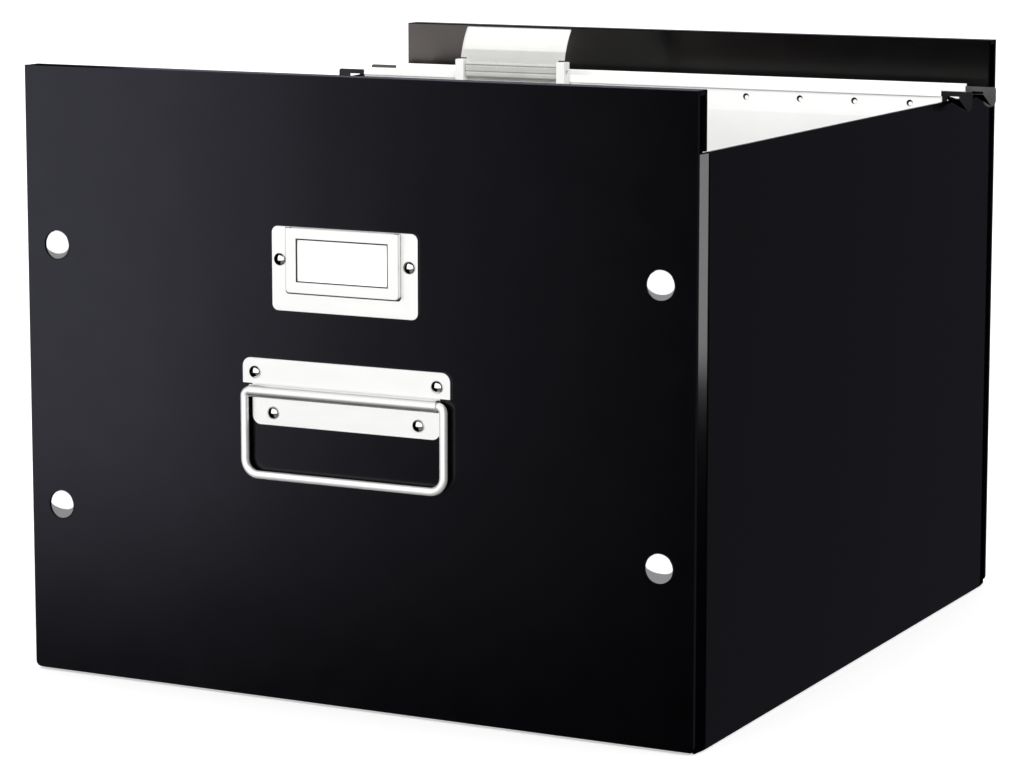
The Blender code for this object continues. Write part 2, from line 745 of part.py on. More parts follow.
def tab_window():
    """A bar that turns on pins between the ears, with a curled window rising from it."""
    reach = TAB_REACH - TAB_EAR - FIT
    y, z = tab_pivot_y(), TAB_PIVOT
    half = TAB_BAR_HEIGHT / 2
    bend = TAB_BAR / 2 - FIT / 10
    corners = [
        (y - TAB_BAR / 2, z - half, bend),
        (y + TAB_BAR / 2, z - half, bend),
        (y + TAB_BAR / 2, z + half, bend),
        (y - TAB_BAR / 2, z + half, bend),
    ]
    bar = extruded(
        "tab_window", rounded(corners), 2 * reach, (TAB_CENTRE, 0, 0), SECTION, "clear"
    )
    pin_reach = TAB_REACH - FIT
    pins = rods("tab_pins", [(TAB_CENTRE, y, z)], TAB_PIN, 2 * pin_reach, (1, 0, 0), 12)
    unite(bar, pins)
    window = curled_sheet("tab_curl", 0, TAB_WINDOW, *TAB_LEAN, TAB_WIDE_REACH)
    for hand, across in SIDES:
        low = (TAB_CENTRE + across * reach, y - TAB_BEND / 2, z - half)
        high = (TAB_CENTRE + across * 2 * reach, y + TAB_BEND / 2, TAB_EAR_TOP + TAB_WIDE_RISE)
        cut(window, block(f"tab_waist_{hand}", low, high))
    unite(bar, window)


def tab_label():
    behind = (TAB_WINDOW + TAB_LABEL) / 2 + FIT
    reach = TAB_WIDE_REACH - FIT
    curled_sheet("tab_label", behind, TAB_LABEL, TAB_LABEL_START, TAB_LEAN[1], reach, "card")


# Assembly -------------------------------------------------------------------


def main():
    stud_holes = [(x, z, STUD_POST + FIT) for x, z in STUD_PLACES]
    rivet_holes = [(x, z, RIVET_SHANK + FIT) for _, x, z in rivet_places()]
    base_board()
    outer_board("front", -1, stud_holes + rivet_holes)
    outer_board("back", 1, stud_holes)
    for wall, side in WALLS:
        top_spine(wall, side)
        lining_board(wall, side)
        for hand, across in SIDES:
            corner_flap(wall, side, hand, across)
    for hand, across in SIDES:
        side_board(hand, across)
    press_studs()
    rivets()
    handle_plate()
    handle_wire()
    label_plate()
    label_card()
    for name, depth, lean in (("front", FILE_FRONT, 1), ("rear", FILE_FRONT + FILE_SPREAD, -1)):
        leaf(f"{name}_leaf", depth, lean)
        rail(f"{name}_rail", depth)
        for hand, across in SIDES:
            hook(f"{name}_{hand}_hook", depth, across)
    tab_base()
    tab_window()
    tab_label()


main()
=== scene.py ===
import json
import math

import bmesh
import bpy
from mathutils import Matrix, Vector

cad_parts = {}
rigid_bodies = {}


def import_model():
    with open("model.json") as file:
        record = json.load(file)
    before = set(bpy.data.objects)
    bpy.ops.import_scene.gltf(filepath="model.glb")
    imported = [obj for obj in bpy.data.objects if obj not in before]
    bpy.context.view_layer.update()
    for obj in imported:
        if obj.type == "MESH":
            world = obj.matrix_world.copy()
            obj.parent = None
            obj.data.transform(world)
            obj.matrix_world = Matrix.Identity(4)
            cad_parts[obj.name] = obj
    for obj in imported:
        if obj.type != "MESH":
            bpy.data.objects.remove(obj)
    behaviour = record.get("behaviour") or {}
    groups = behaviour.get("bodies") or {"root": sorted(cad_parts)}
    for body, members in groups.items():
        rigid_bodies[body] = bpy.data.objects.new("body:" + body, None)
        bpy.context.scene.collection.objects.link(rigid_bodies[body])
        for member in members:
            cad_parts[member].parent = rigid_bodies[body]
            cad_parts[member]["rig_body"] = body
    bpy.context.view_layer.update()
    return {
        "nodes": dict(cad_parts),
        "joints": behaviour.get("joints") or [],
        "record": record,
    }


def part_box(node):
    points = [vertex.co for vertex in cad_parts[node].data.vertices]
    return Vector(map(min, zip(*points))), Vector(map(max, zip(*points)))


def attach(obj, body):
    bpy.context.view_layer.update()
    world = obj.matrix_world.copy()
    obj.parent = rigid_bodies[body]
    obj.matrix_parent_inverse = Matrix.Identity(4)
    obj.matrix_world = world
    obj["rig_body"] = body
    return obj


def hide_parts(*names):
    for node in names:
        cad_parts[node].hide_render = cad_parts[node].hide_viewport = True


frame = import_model()
nodes = frame["nodes"]
scene = bpy.context.scene
tiny = 1e-5  # how near two places count as the same
sides = {"left": -1, "right": 1}
walls = {"front": -1, "back": 1}
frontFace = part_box("front_outer_board")[0].y
print("frame loaded:", len(nodes), "nodes")

# camera, in front and to the right of the box and a little above its walls
cameraSettings = {
    "place": (0.7294, -1.4545, 0.3889),
    "pitch": 8.025,
    "yaw": 27.014,
    "lens": 119.94,
    "shiftUp": -0.0864,
}


def addCamera():
    data = bpy.data.cameras.new("camera")
    data.lens = cameraSettings["lens"]
    data.shift_y = cameraSettings["shiftUp"]
    camera = bpy.data.objects.new("camera", data)
    camera.location = cameraSettings["place"]
    tilt = math.radians(90 - cameraSettings["pitch"])
    camera.rotation_euler = (tilt, 0, math.radians(cameraSettings["yaw"]))
    scene.collection.objects.link(camera)
    scene.camera = camera


addCamera()


# small helpers for working in edit mode

def deselectAll():
    if bpy.context.object and bpy.context.object.mode != "OBJECT":
        bpy.ops.object.mode_set(mode="OBJECT")
    bpy.ops.object.select_all(action="DESELECT")


def makeActive(piece):
    deselectAll()
    piece.select_set(True)
    bpy.context.view_layer.objects.active = piece


def startEdit(piece):
    makeActive(piece)
    bpy.ops.object.mode_set(mode="EDIT")


def endEdit():
    bpy.ops.object.mode_set(mode="OBJECT")


def pick(piece, kind, test):
    # selects the verts, edges or faces whose place (and direction or normal) passes the test
    mode = {"verts": "VERT", "edges": "EDGE", "faces": "FACE"}[kind]
    bpy.ops.mesh.select_mode(type=mode)
    bpy.ops.mesh.select_all(action="DESELECT")
    shape = bmesh.from_edit_mesh(piece.data)
    for part in getattr(shape, kind):
        if kind == "verts":
            chosen = test(part.co)
        elif kind == "edges":
            first, last = (v.co for v in part.verts)
            chosen = test((first + last) / 2, (last - first).normalized(), part)
        else:
            chosen = test(part.calc_center_median(), part.normal)
        if chosen:
            part.select_set(True)
    shape.select_flush_mode()
    bmesh.update_edit_mesh(piece.data)


def extrudeBy(move):
    bpy.ops.mesh.extrude_region_move(TRANSFORM_OT_translate={"value": move})


def cutAt(place, normal, **settings):
    bpy.ops.mesh.select_all(action="SELECT")
    bpy.ops.mesh.bisect(plane_co=place, plane_no=normal, **settings)


def tidyMesh():
    bpy.ops.mesh.select_all(action="SELECT")
    bpy.ops.mesh.remove_doubles(threshold=1e-6)
    bpy.ops.mesh.normals_make_consistent(inside=False)


def addModifier(piece, kind, **settings):
    modifier = piece.modifiers.new(kind.lower(), kind)
    for key, value in settings.items():
        setattr(modifier, key, value)
    makeActive(piece)
    bpy.ops.object.modifier_apply(modifier=modifier.name)


def softenEdges(piece, width, segments=3, angle=35):
    addModifier(
        piece,
        "BEVEL",
        width=width,
        segments=segments,
        limit_method="ANGLE",
        angle_limit=math.radians(angle),
        harden_normals=False,
    )


def addBox(name, low, high):
    deselectAll()
    middle = [(a + b) / 2 for a, b in zip(low, high)]
    bpy.ops.mesh.primitive_cube_add(size=1, location=middle)
    piece = bpy.context.object
    piece.scale = [abs(b - a) for a, b in zip(low, high)]
    bpy.ops.object.transform_apply(location=True, rotation=True, scale=True)
    piece.name = piece.data.name = name
    return piece


def applyPlace(piece):
    makeActive(piece)
    bpy.ops.object.transform_apply(location=True, rotation=True, scale=True)


def copyOf(piece, name):
    twin = bpy.data.objects.new(name, piece.data.copy())
    scene.collection.objects.link(twin)
    return twin


def joinPieces(main, others):
    deselectAll()
    for piece in [main, *others]:
        piece.select_set(True)
    bpy.context.view_layer.objects.active = main
    bpy.ops.object.join()
    return main


def finishPiece(piece, body, material, replaced=(), smoothAngle=None):
    # flat pieces keep flat shading, and turned or bent ones are smooth below an angle
    makeActive(piece)
    if smoothAngle is None:
        bpy.ops.object.shade_flat()
    else:
        bpy.ops.object.shade_smooth_by_angle(angle=math.radians(smoothAngle))
        addModifier(piece, "WEIGHTED_NORMAL", keep_sharp=True, weight=80)
    piece.data.name = piece.name
    piece.data.materials.clear()
    piece.data.materials.append(material)
    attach(piece, body)
    if replaced:
        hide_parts(*replaced)
    return piece


# materials

def newMaterial(name, baseColor, roughness, metallic=0.0, **sockets):
    material = bpy.data.materials.new(name)
    material.use_nodes = True
    shader = material.node_tree.nodes["Principled BSDF"]
    shader.inputs["Base Color"].default_value = (*baseColor, 1)
    shader.inputs["Roughness"].default_value = roughness
    shader.inputs["Metallic"].default_value = metallic
    for key, value in sockets.items():
        shader.inputs[key.replace("_", " ")].default_value = value
    return material


def addNode(material, kind, **settings):
    node = material.node_tree.nodes.new(kind)
    for key, value in settings.items():
        if key in node.inputs:
            node.inputs[key].default_value = value
        else:
            setattr(node, key, value)
    return node


def link(material, output, target):
    material.node_tree.links.new(output, target)


def noiseOn(material, scale, detail, stretch=(1, 1, 1)):
    # noise on the piece's own coordinates, stretched along an axis for a grain
    place = addNode(material, "ShaderNodeTexCoord")
    mapping = addNode(material, "ShaderNodeMapping")
    mapping.inputs["Scale"].default_value = stretch
    noise = addNode(material, "ShaderNodeTexNoise", Scale=scale, Detail=detail, Roughness=0.5)
    link(material, place.outputs["Object"], mapping.inputs["Vector"])
    link(material, mapping.outputs["Vector"], noise.inputs["Vector"])
    return noise


def varyRoughness(material, noise, low, high):
    shader = material.node_tree.nodes["Principled BSDF"]
    spread = addNode(material, "ShaderNodeMapRange")
    spread.inputs["To Min"].default_value = low
    spread.inputs["To Max"].default_value = high
    link(material, noise.outputs["Fac"], spread.inputs["Value"])
    link(material, spread.outputs["Result"], shader.inputs["Roughness"])


def varyColor(material, noise, first, second):
    shader = material.node_tree.nodes["Principled BSDF"]
    ramp = addNode(material, "ShaderNodeValToRGB")
    ramp.color_ramp.elements[0].position = 0.3
    ramp.color_ramp.elements[1].position = 0.7
    ramp.color_ramp.elements[0].color = (*first, 1)
    ramp.color_ramp.elements[1].color = (*second, 1)
    link(material, noise.outputs["Fac"], ramp.inputs["Fac"])
    link(material, ramp.outputs["Color"], shader.inputs["Base Color"])


def addBump(material, noises, distances):
    # several noises, one bump on another
    shader = material.node_tree.nodes["Principled BSDF"]
    previous = None
    for noise, distance in zip(noises, distances):
        bump = addNode(material, "ShaderNodeBump", Strength=1.0, Distance=distance)
        link(material, noise.outputs["Fac"], bump.inputs["Height"])
        if previous:
            link(material, previous.outputs["Normal"], bump.inputs["Normal"])
        previous = bump
    link(material, previous.outputs["Normal"], shader.inputs["Normal"])


laminateLook = {
    "color": (0.0004, 0.0004, 0.0009),
    "worn": (0.0008, 0.0008, 0.0014),
    "roughness": (0.19, 0.25),
    "grainScale": 1500,
    "grainDepth": 0.000003,
    "wavesScale": 14,
    "wavesDepth": 0.00025,
    "cloudsScale": 60,
}
creaseLook = {**laminateLook, "roughness": (0.11, 0.15)}
liningLook = {**laminateLook, "color": (0.0022, 0.0015, 0.0015), "worn": (0.0040, 0.0030, 0.0030)}



def makeLaminate(name, look):
    material = newMaterial(name, look["color"], look["roughness"][0])
    grain = noiseOn(material, look["grainScale"], 3)
    waves = noiseOn(material, look["wavesScale"], 1)
    clouds = noiseOn(material, look["cloudsScale"], 4)
    varyRoughness(material, clouds, *look["roughness"])
    varyColor(material, clouds, look["color"], look["worn"])
    addBump(material, [waves, grain], [look["wavesDepth"], look["grainDepth"]])
    return material


def makeMetal(name, color, roughness, grainScale, grainDepth, stretch=(1, 1, 1)):
    material = newMaterial(name, color, roughness[0], 1.0)
    grain = noiseOn(material, grainScale, 3, stretch)
    varyRoughness(material, grain, *roughness)
    addBump(material, [grain], [grainDepth])
    return material


def makePaper(name, color, shade, roughness):
    material = newMaterial(name, color, roughness)
    fibres = noiseOn(material, 900, 5, (1, 1, 0.4))
    clouds = noiseOn(material, 35, 3)
    varyColor(material, clouds, shade, color)
    varyRoughness(material, fibres, roughness - 0.05, roughness + 0.08)
    addBump(material, [fibres], [0.00001])
    return material


def makePlastic(name, color, shade, roughness, **sockets):
    material = newMaterial(name, color, roughness, **sockets)
    skin = noiseOn(material, 700, 3)
    varyRoughness(material, skin, roughness - 0.03, roughness + 0.06)
    varyColor(material, noiseOn(material, 90, 2), shade, color)
    addBump(material, [skin], [0.000004])
    return material


laminate = makeLaminate("blackLaminate", laminateLook)
creaseLaminate = makeLaminate("creasedLaminate", creaseLook)
liningLaminate = makeLaminate("blackLining", liningLook)
nickel = makeMetal("satinNickel", (0.90, 0.90, 0.885), (0.28, 0.38), 420, 0.000003, (0.15, 1, 1))
wireNickel = makeMetal("brightNickel", (0.92, 0.92, 0.905), (0.30, 0.40), 600, 0.000002)
wireNickel.node_tree.nodes["Principled BSDF"].inputs["Metallic"].default_value = 0.72
chrome = makeMetal("polishedChrome", (0.86, 0.87, 0.88), (0.04, 0.08), 500, 0.000001)
zinc = makeMetal("zincPlate", (0.55, 0.56, 0.56), (0.32, 0.48), 700, 0.000006)
cardWhite = makePaper("cardWhite", (0.93, 0.93, 0.92), (0.90, 0.90, 0.885), 0.6)
fileWhite = makePaper("fileWhite", (0.88, 0.885, 0.87), (0.84, 0.845, 0.825), 0.45)
hookBlack = makePlastic("hookBlack", (0.024, 0.024, 0.027), (0.016, 0.016, 0.019), 0.38)
# the same black hook plastic made lighter grey for the rear hooks: a painted reflection
hookGrey = makePlastic("hookGrey", (0.125, 0.125, 0.123), (0.10, 0.10, 0.098), 0.45)
tabWhite = makePlastic(
    "tabWhite", (0.80, 0.80, 0.785), (0.76, 0.76, 0.745), 0.32, Specular_IOR_Level=0.1
)
clearPlastic = makePlastic("clearPlastic", (0.78, 0.78, 0.76), (0.75, 0.75, 0.73), 0.2, Alpha=0.42)
barPlastic = makePlastic("frostedPlastic", (0.47, 0.47, 0.455), (0.43, 0.43, 0.415), 0.25)
# near-black strips for the label holder: painted shadow in its gaps
seamPaintedShadow = makeMetal("seamShadow", (0.03, 0.03, 0.032), (0.5, 0.6), 500, 0.000002)
# near-black discs in the leaf's slots: painted shadow seen through the openings
slotDark = makePlastic("slotDark", (0.006, 0.006, 0.007), (0.004, 0.004, 0.005), 0.6)
cadMaterials = {
    "laminate": laminate,
    "lining": liningLaminate,
    "nickel": nickel,
    "chrome": chrome,
    "zinc": zinc,
    "card": cardWhite,
    "file": fileWhite,
    "hook": hookBlack,
    "tab": tabWhite,
    "clear": clearPlastic,
}
slotOf = {row["node"]: row["material_slot"] for row in frame["record"]["subparts"]}
bodyOf = {
    node: body
    for body, members in frame["record"]["behaviour"]["bodies"].items()
    for node in members
}
for node, cadObject in nodes.items():
    cadObject.data.materials.clear()
    cadObject.data.materials.append(cadMaterials[slotOf[node]])
print("materials made")


# boards, spines, rails, hooks and tab base: the CAD shape with softened edges

softEdges = {"board": 0.0006, "lining": 0.0004, "hook": 0.00018, "rail": 0.0003, "tab": 0.0005}


def softCopy(node, width, segments=3, material=None):
    piece = bpy.data.objects.new(node + "_soft", nodes[node].data.copy())
    scene.collection.objects.link(piece)
    startEdit(piece)
    bpy.ops.mesh.select_all(action="SELECT")
    bpy.ops.mesh.remove_doubles(threshold=1e-6)
    bpy.ops.mesh.dissolve_limited(angle_limit=math.radians(0.5))
    bpy.ops.mesh.customdata_custom_splitnormals_clear()
    endEdit()
    softenEdges(piece, width, segments)
    material = material or cadMaterials[slotOf[node]]
    return finishPiece(piece, bodyOf[node], material, [node])


for node in nodes:
    if node.endswith("_board"):
        softCopy(node, softEdges["lining" if "lining" in node else "board"])
    elif node.endswith("_spine"):
        softCopy(node, softEdges["board"])
    elif node.endswith("_hook"):
        # rear hooks take the lighter grey copy, a painted reflection
        softCopy(node, softEdges["hook"], 2, hookGrey if node.startswith("rear") else hookBlack)
    elif node.endswith("_rail"):
        softCopy(node, softEdges["rail"], 2)
print("boards, hooks and rails made")


# corner flaps: a strip leaning in towards the wall, and the flap behind the wall

flapLook = {
    "lean": 0.0011,  # how far the strip leans in at the wall
    "edge": 0.0005,
    "wallDepths": (0.0057, 0.0069),  # the flap's two faces, in from the wall's outer face
    "margins": (0.0027, 0.004),  # the flap is this much short of the strip, below and above
}


def makeFlap(wall, hand):
    node = f"{hand}_{wall}_flap"
    low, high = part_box(node)
    across, facing = sides[hand], walls[wall]
    outer, flapEnd = max(abs(low.x), abs(high.x)), min(abs(low.x), abs(high.x))
    boardLow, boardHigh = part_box(f"{hand}_side_board")
    inner = outer - (boardHigh.x - boardLow.x)
    piece = addBox(node + "_soft", (inner, low.y, low.z), (outer, high.y, high.z))
    # the flap lies between the two boards of the wall
    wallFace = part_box(f"{wall}_outer_board")[0 if facing < 0 else 1].y
    near, far = (wallFace - facing * depth for depth in flapLook["wallDepths"])
    bottom, top = low.z + flapLook["margins"][0], high.z - flapLook["margins"][1]
    wallEnd = low.y if facing < 0 else high.y
    startEdit(piece)
    pick(piece, "verts", lambda at: at.x > outer - tiny and abs(at.y - wallEnd) < tiny)
    bpy.ops.transform.translate(value=(-flapLook["lean"], 0, 0))
    for y in (near, far):
        cutAt((0, y, 0), (0, 1, 0))
    for z in (bottom, top):
        cutAt((0, 0, z), (0, 0, 1))
    first, last = sorted((near, far))
    pick(
        piece,
        "faces",
        lambda at, normal: normal.x < -0.9 and first < at.y < last and bottom < at.z < top,
    )
    extrudeBy((flapEnd - inner, 0, 0))
    endEdit()
    if across < 0:
        piece.scale.x = -1
        applyPlace(piece)
        startEdit(piece)
        tidyMesh()
        endEdit()
    softenEdges(piece, flapLook["edge"], 4)
    finishPiece(piece, bodyOf[node], creaseLaminate, [node])


for wall in walls:
    for hand in sides:
        makeFlap(wall, hand)
print("corner flaps made")


# domed metal heads: press stud caps and rivets

capLook = {"rim": 0.0004, "dome": 0.0013, "sides": 48, "post": 0.0018, "edge": 0.00012}
rivetLook = {"rim": 0.0004, "dome": 0.0013, "sides": 32, "post": 0.0015, "edge": 0.00012}


def makeHead(name, radius, look, length):
    # a dome on a rim with its post below, its top at the origin and facing +Z
    deselectAll()
    bpy.ops.mesh.primitive_uv_sphere_add(segments=look["sides"], ring_count=24, radius=radius)
    piece = bpy.context.object
    piece.name = name
    startEdit(piece)
    bpy.ops.mesh.select_all(action="SELECT")
    bpy.ops.mesh.bisect(plane_co=(0, 0, 0), plane_no=(0, 0, 1), clear_inner=True)
    bpy.ops.mesh.select_all(action="SELECT")
    bpy.ops.transform.resize(value=(1, 1, look["dome"] / radius), center_override=(0, 0, 0))
    bpy.ops.transform.translate(value=(0, 0, -look["dome"]))
    pick(piece, "edges", lambda at, way, edge: len(edge.link_faces) == 1)
    extrudeBy((0, 0, -look["rim"]))
    extrudeBy((0, 0, 0))
    share = look["post"] / radius
    rimFoot = -look["dome"] - look["rim"]
    bpy.ops.transform.resize(value=(share, share, 1), center_override=(0, 0, rimFoot))
    extrudeBy((0, 0, -length))
    bpy.ops.mesh.edge_face_add()
    tidyMesh()
    endEdit()
    softenEdges(piece, look["edge"], 2, 50)
    return piece


def placeHeads(master, prefix, material):
    for node in nodes:
        if not node.startswith(prefix):
            continue
        low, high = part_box(node)
        head = copyOf(master, node + "_head")
        facing = 1 if "_back_" in node else -1
        face = high.y if facing > 0 else low.y
        head.location = ((low.x + high.x) / 2, face, (low.z + high.z) / 2)
        head.rotation_euler = (-facing * math.pi / 2, 0, 0)
        applyPlace(head)
        finishPiece(head, bodyOf[node], material, [node], 40)
    bpy.data.objects.remove(master)


def headsFor(prefix, example, look, material):
    low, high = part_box(example)
    radius = (high.x - low.x) / 2
    depth = high.y - low.y
    length = depth - look["dome"] - look["rim"]
    placeHeads(makeHead(prefix + "master", radius, look, length), prefix, material)


headsFor("press_cap_", "press_cap_front_left_upper", capLook, chrome)
headsFor("handle_rivet_", "handle_rivet_left_upper", rivetLook, chrome)
headsFor("label_rivet_", "label_rivet_left", rivetLook, chrome)
print("stud caps and rivets made")


# drop handle

handleLook = {
    "sheet": 0.0007,
    "barrelRadius": 0.00243,
    "barrelSides": 48,
    "seamHalfAngle": 22,
    "flangeSet": 0.0007,  # middle of the sheet in front of the board
    "neck": 0.0016,  # where each flange leaves the roll, above or below the wire's middle
    "step": 0.0030,
    "stepClear": 0.001,  # the wider upper flange starts this far above the step
    "rollInset": 0.00145,  # the roll ends this far inside the outer rivets
    "corner": 0.0040,
    "edge": 0.00018,
    "wireRadius": 0.0018,
    "wireSides": 24,
    "topBend": 0.0026,
    "gripBend": 0.0067,
    "wireGap": 0.0003,  # half of the gap between the wire's ends, inside the roll
}
pivot = Vector(frame["joints"][0]["pos_m"])


def makeHandlePlate():
    low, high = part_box("handle_plate")
    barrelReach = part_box("handle_rivet_right_upper")[1].x - handleLook["rollInset"]
    flange = frontFace - handleLook["flangeSet"]
    deselectAll()
    bpy.ops.mesh.primitive_circle_add(
        vertices=handleLook["barrelSides"],
        radius=handleLook["barrelRadius"],
        location=(-barrelReach, pivot.y, pivot.z),
        rotation=(0, math.pi / 2, 0),
    )
    piece = bpy.context.object
    piece.name = "handle_plate_rolled"
    applyPlace(piece)
    startEdit(piece)
    seam = math.radians(handleLook["seamHalfAngle"])

    def inSeam(at):
        return math.atan2(abs(at.z - pivot.z), at.y - pivot.y) < seam

    pick(piece, "verts", inSeam)
    bpy.ops.mesh.delete(type="VERT")
    # each end of the roll turns out into a flange flat on the board
    for up, reach in ((1, high.z - pivot.z), (-1, pivot.z - low.z)):
        shape = bmesh.from_edit_mesh(piece.data)
        ends = [v.co.copy() for v in shape.verts if len(v.link_edges) == 1]
        end = next(at for at in ends if up * (at.z - pivot.z) > 0)
        for rise in (handleLook["neck"], handleLook["step"], reach):
            pick(piece, "verts", lambda at: (at - end).length < 1e-6)
            move = Vector((0, flange - end.y, pivot.z + up * rise - end.z))
            extrudeBy(move)
            end = end + move
    bpy.ops.mesh.select_mode(type="EDGE")
    bpy.ops.mesh.select_all(action="SELECT")
    extrudeBy((2 * barrelReach, 0, 0))
    # the upper flange is wider than the roll
    for across in (-1, 1):
        pick(
            piece,
            "edges",
            lambda at, way, edge: abs(at.x - across * barrelReach) < tiny
            and abs(way.z) > 0.9
            and at.z > pivot.z + handleLook["step"] + handleLook["stepClear"],
        )
        extrudeBy((across * (high.x - barrelReach), 0, 0))
    tidyMesh()
    corners = [(high.x, high.z), (barrelReach, low.z)]
    pick(
        piece,
        "verts",
        lambda at: any(abs(abs(at.x) - x) < tiny and abs(at.z - z) < tiny for x, z in corners),
    )
    bpy.ops.mesh.bevel(offset=handleLook["corner"], segments=10, affect="VERTICES")
    endEdit()
    addModifier(piece, "SOLIDIFY", thickness=handleLook["sheet"], offset=0)
    softenEdges(piece, handleLook["edge"], 2, 50)
    finishPiece(piece, "box", nickel, ["handle_plate"], 40)


def makeHandleWire():
    low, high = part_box("handle_wire")
    radius = handleLook["wireRadius"]
    legX = high.x - radius
    gripZ = low.z + radius
    start = handleLook["wireGap"]
    deselectAll()
    bpy.ops.mesh.primitive_circle_add(
        vertices=handleLook["wireSides"],
        radius=radius,
        fill_type="NGON",
        location=(start, pivot.y, pivot.z),
        rotation=(0, math.pi / 2, 0),
    )
    piece = bpy.context.object
    piece.name = "handle_wire_bent"
    applyPlace(piece)
    startEdit(piece)
    bpy.ops.mesh.select_mode(type="FACE")
    bpy.ops.mesh.select_all(action="SELECT")
    top, grip = handleLook["topBend"], handleLook["gripBend"]
    extrudeBy((legX - top - start, 0, 0))
    bpy.ops.mesh.spin(
        steps=10, angle=-math.pi / 2, center=(legX - top, pivot.y, pivot.z - top), axis=(0, 1, 0)
    )
    extrudeBy((0, 0, gripZ + grip - (pivot.z - top)))
    bpy.ops.mesh.spin(
        steps=14, angle=-math.pi / 2, center=(legX - grip, pivot.y, gripZ + grip), axis=(0, 1, 0)
    )
    extrudeBy((-(legX - grip), 0, 0))
    bpy.ops.mesh.delete(type="ONLY_FACE")
    tidyMesh()
    endEdit()
    addModifier(piece, "MIRROR", use_axis=(True, False, False), merge_threshold=0.00005)
    startEdit(piece)
    tidyMesh()
    endEdit()
    finishPiece(piece, "handle", wireNickel, ["handle_wire"], 50)


makeHandlePlate()
makeHandleWire()
print("handle made")


# label holder

labelLook = {
    "plateCorner": 0.0030,
    "plateEdge": 0.00018,
    "plateSheet": 0.0008,
    "frameSheet": 0.0007,
    "frameReach": 0.0280,
    "frameRise": 0.0085,  # frame's lower edge above the plate's
    "frameDrop": 0.0003,  # frame's upper edge below the plate's
    "frameCorner": 0.0016,
    "frameEdge": 0.00022,
    "windowReach": 0.0228,
    "windowRise": 0.0134,
    "windowDrop": 0.0049,
    "seamSide": 0.0014,  # painted shadow beside and below the frame, for the narrow gap there
    "seamBelow": 0.0008,
    "seamDepth": 0.00006,
    "outline": 0.00042,  # painted shadow line round the inside of the window
    "outlineSet": (0.00012, 0.00005),  # its clearance from the sheet's two faces
    "hairEdge": 0.00003,
}


def makeLabelPlate():
    low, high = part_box("label_plate")
    look = labelLook
    plateFront = high.y - look["plateSheet"]
    plate = addBox("label_plate_pressed", (low.x, plateFront, low.z), (high.x, high.y, high.z))
    startEdit(plate)
    pick(plate, "edges", lambda at, way, edge: abs(way.y) > 0.9)
    bpy.ops.mesh.bevel(offset=look["plateCorner"], segments=10)
    endEdit()
    softenEdges(plate, look["plateEdge"], 2, 60)
    reach, top = look["frameReach"], high.z - look["frameDrop"]
    bottom = low.z + look["frameRise"]
    raised = addBox("raised", (-reach, low.y, bottom), (reach, plateFront, top))
    startEdit(raised)
    pick(raised, "faces", lambda at, normal: normal.y > 0.9 or normal.z > 0.9)
    bpy.ops.mesh.delete(type="FACE")
    pick(raised, "edges", lambda at, way, edge: abs(way.y) > 0.9 and at.z < bottom + tiny)
    bpy.ops.mesh.bevel(offset=look["frameCorner"], segments=6)
    windowLow, windowHigh = low.z + look["windowRise"], high.z - look["windowDrop"]
    for x in (-look["windowReach"], look["windowReach"]):
        cutAt((x, 0, 0), (1, 0, 0))
    for z in (windowLow, windowHigh):
        cutAt((0, 0, z), (0, 0, 1))
    pick(
        raised,
        "faces",
        lambda at, normal: abs(normal.y) > 0.9
        and abs(at.x) < look["windowReach"]
        and windowLow < at.z < windowHigh,
    )
    bpy.ops.mesh.delete(type="FACE")
    endEdit()
    addModifier(raised, "SOLIDIFY", thickness=look["frameSheet"], offset=-1)
    startEdit(raised)
    bpy.ops.mesh.select_all(action="SELECT")
    bpy.ops.mesh.dissolve_limited(angle_limit=math.radians(0.5))
    endEdit()
    softenEdges(raised, look["frameEdge"], 3, 40)
    joinPieces(plate, [raised])
    finishPiece(plate, "box", nickel, ["label_plate"], 40)
    makeFramePaintedShadow(reach, bottom, top, plateFront)
    makeWindowPaintedShadow(low.y, windowLow, windowHigh)


def makeFramePaintedShadow(reach, bottom, top, plateFront):
    # a thin dark strip on the plate where the frame's sheet turns up from it: painted shadow of the
    # narrow gap there
    look = labelLook
    piece = addBox(
        "label_frame_seam",
        (-reach - look["seamSide"], plateFront - look["seamDepth"], bottom - look["seamBelow"]),
        (reach + look["seamDepth"], plateFront + look["seamDepth"], top),
    )
    startEdit(piece)
    pick(piece, "edges", lambda at, way, edge: abs(way.y) > 0.9 and at.z < bottom)
    bpy.ops.mesh.bevel(offset=look["frameCorner"], segments=6)
    endEdit()
    softenEdges(piece, labelLook["hairEdge"], 1, 50)
    finishPiece(piece, "box", seamPaintedShadow)


def makeWindowPaintedShadow(frameFront, windowLow, windowHigh):
    # a thin dark liner round the inside of the window, where the window's sheet turns in: painted
    # shadow
    reach = labelLook["windowReach"]
    frontSet, backSet = labelLook["outlineSet"]
    piece = addBox(
        "label_window_outline",
        (-reach, frameFront + frontSet, windowLow),
        (reach, frameFront + labelLook["frameSheet"] - backSet, windowHigh),
    )
    startEdit(piece)
    pick(piece, "faces", lambda at, normal: abs(normal.y) > 0.9)
    bpy.ops.mesh.inset(thickness=labelLook["outline"], use_individual=True)
    bpy.ops.mesh.delete(type="FACE")
    pick(piece, "edges", lambda at, way, edge: len(edge.link_faces) == 1)
    bpy.ops.mesh.bridge_edge_loops()
    tidyMesh()
    endEdit()
    softenEdges(piece, labelLook["hairEdge"], 1, 50)
    finishPiece(piece, "box", seamPaintedShadow)


makeLabelPlate()
print("label holder made")


# punched slots in the front leaf: a crescent opening round a small flap of the leaf, the dark disc in
# each opening painted shadow

slotLook = {
    "pitch": 0.029,
    "count": 11,
    "opening": 0.0016,
    "flap": 0.00105,
    "flapShift": (0.0005, -0.00042),
    "sides": 28,
    "thick": 0.0002,
    "search": (0.006, 0.001),  # how far below the rail the cut-outs are looked for
    "openingProud": 0.00001,
    "flapProud": 0.00012,
    "hairEdge": 0.00003,
}


